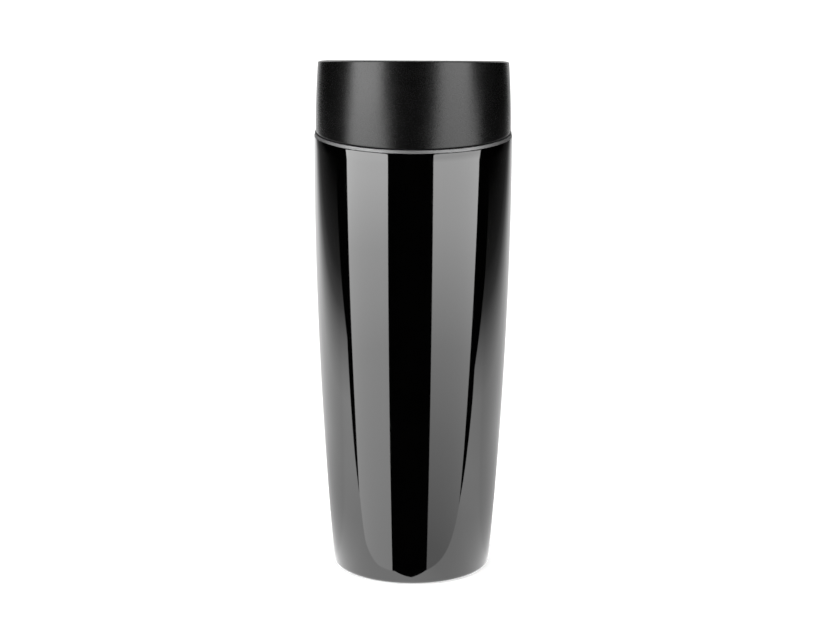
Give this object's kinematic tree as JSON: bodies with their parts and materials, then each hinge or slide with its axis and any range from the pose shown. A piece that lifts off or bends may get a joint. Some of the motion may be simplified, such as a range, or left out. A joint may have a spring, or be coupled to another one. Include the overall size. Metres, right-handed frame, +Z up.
{
  "type": "insulated tumbler",
  "caption": "Vacuum-insulated travel tumbler with a screw-in press lid; the sloping lid opens at a button and lets the drink out all round its rim.",
  "frame": {"origin": "centre of the foot pad's flat underside, on the tumbler's axis", "axes": "+Z up the tumbler's axis, -Y towards the high side of the sloping lid, +X to the right of someone who looks at that side"},
  "size_m": [0.084, 0.084, 0.2287],
  "materials": {
    "gloss_lacquer": "high-gloss black lacquer",
    "bare_steel": "satin bare stainless steel",
    "polished_steel": "polished stainless steel",
    "soft_touch_black": "fine matte soft-touch",
    "black_plastic": "fine spark-eroded moulding",
    "inlay_black": "smooth satin gloss",
    "grey_silicone": "soft matte silicone",
    "dark_silicone": "soft matte silicone",
    "white_acetal": "smooth moulded acetal",
    "getter_metal": "pressed metal powder",
    "braze": "melted braze"
  },
  "bodies": {
    "cup": {"outer_shell": "gloss_lacquer", "inner_vessel": "bare_steel", "rim_ring": "polished_steel", "base_plate": "bare_steel", "seal_bead": "braze", "getter_cup": "bare_steel", "getter_pellet": "getter_metal", "base_cover": "black_plastic", "foot_pad": "dark_silicone"},
    "lid_seal": {"lid_gasket": "grey_silicone"},
    "lid": {"lid_sleeve": "soft_touch_black", "drinking_bowl": "black_plastic", "threaded_plug": "black_plastic", "valve_carrier": "black_plastic", "cam_sleeve": "white_acetal", "plunger_wiper": "grey_silicone", "return_spring": "polished_steel", "stem_seal": "grey_silicone", "seal_retainer": "bare_steel"},
    "valve": {"button_cap": "soft_touch_black", "button_inlay": "inlay_black", "plunger": "white_acetal", "thrust_washer": "bare_steel", "valve_stem": "bare_steel", "valve_head": "black_plastic", "valve_gasket": "grey_silicone", "valve_nut": "black_plastic"},
    "cam": {"index_cam": "white_acetal"}
  },
  "joints": [
    {"name": "lid_rise", "type": "slide", "parent": "cup", "child": "lid_seal", "axis": [0, 0, 1], "range_m": [0, 0.0321]},
    {"name": "lid_turn", "type": "hinge", "parent": "lid_seal", "child": "lid", "pos_m": [0, 0, 0.18], "axis": [0, 0, 1], "range_deg": [0, 960]},
    {"name": "button_press", "type": "slide", "parent": "lid", "child": "valve", "axis": [0, 0, -1], "range_m": [0, 0.006], "stiffness_N_per_m": 500, "springref_m": -0.012, "deforming": ["return_spring"]},
    {"name": "cam_turn", "type": "hinge", "parent": "valve", "child": "cam", "pos_m": [0, 0, 0.1976], "axis": [0, 0, 1], "range_deg": [0, 60.1]}
  ],
  "couplings": [
    {"joint": "lid_rise", "follows": "lid_turn", "m_per_rad": 0.0019099},
    {"joint": "cam_turn", "follows": "button_press", "rad_per_m": 174.53}
  ]
}
